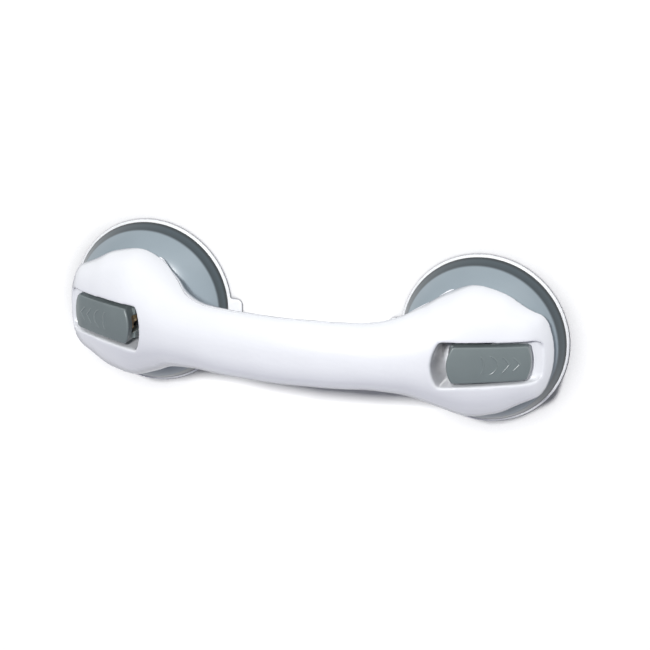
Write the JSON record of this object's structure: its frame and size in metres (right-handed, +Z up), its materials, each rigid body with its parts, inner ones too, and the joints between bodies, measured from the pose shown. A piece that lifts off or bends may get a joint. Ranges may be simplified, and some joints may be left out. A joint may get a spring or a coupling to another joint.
{
  "type": "suction grab bar",
  "caption": "Arched white grab bar on two suction cups, each clamped to the wall by a grey flip lever that pulls up the middle of a rubber disc.",
  "frame": {"origin": "on the wall plane, midway between the axes of the two suction cups", "axes": "+X along the bar, +Z up with the bar level, +Y into the wall, so the handle stands off towards -Y"},
  "size_m": [0.2952, 0.0735, 0.0966],
  "materials": {
    "white_abs": "gloss",
    "plate_grey": "gloss",
    "lever_grey": "satin",
    "clear_rubber": "soft translucent white",
    "core_plastic": "matte",
    "steel": "zinc plated",
    "spring_steel": "bright",
    "brass": "turned"
  },
  "bodies": {
    "handle": {"front_shell": "white_abs", "back_shell": "white_abs", "back_shell_screws": "steel", "left_suction_disc": "clear_rubber", "left_pressure_plate": "plate_grey", "left_plate_screws": "steel", "left_return_spring": "spring_steel", "left_cam_washer": "steel", "right_suction_disc": "clear_rubber", "right_pressure_plate": "plate_grey", "right_plate_screws": "steel", "right_return_spring": "spring_steel", "right_cam_washer": "steel"},
    "left_stud": {"left_pull_stud": "brass", "left_pivot_pin": "steel", "left_disc_core": "core_plastic"},
    "left_lever": {"left_lever": "lever_grey"},
    "right_stud": {"right_pull_stud": "brass", "right_pivot_pin": "steel", "right_disc_core": "core_plastic"},
    "right_lever": {"right_lever": "lever_grey"}
  },
  "joints": [
    {"name": "left_stud_slide", "type": "slide", "parent": "handle", "child": "left_stud", "axis": [0, 1, 0], "range_m": [0, 0.0026], "deforming": ["left_suction_disc", "left_return_spring"]},
    {"name": "left_lever_hinge", "type": "hinge", "parent": "left_stud", "child": "left_lever", "pos_m": [-0.09925, -0.0415, 0], "axis": [0, 0, 1], "range_deg": [0, 90]},
    {"name": "right_stud_slide", "type": "slide", "parent": "handle", "child": "right_stud", "axis": [0, 1, 0], "range_m": [0, 0.0026], "deforming": ["right_suction_disc", "right_return_spring"]},
    {"name": "right_lever_hinge", "type": "hinge", "parent": "right_stud", "child": "right_lever", "pos_m": [0.09925, -0.0415, 0], "axis": [0, 0, -1], "range_deg": [0, 90]}
  ],
  "couplings": [
    {"joint": "left_lever_hinge", "follows": "left_stud_slide", "rad_per_m": 604.15},
    {"joint": "right_lever_hinge", "follows": "right_stud_slide", "rad_per_m": 604.15}
  ]
}
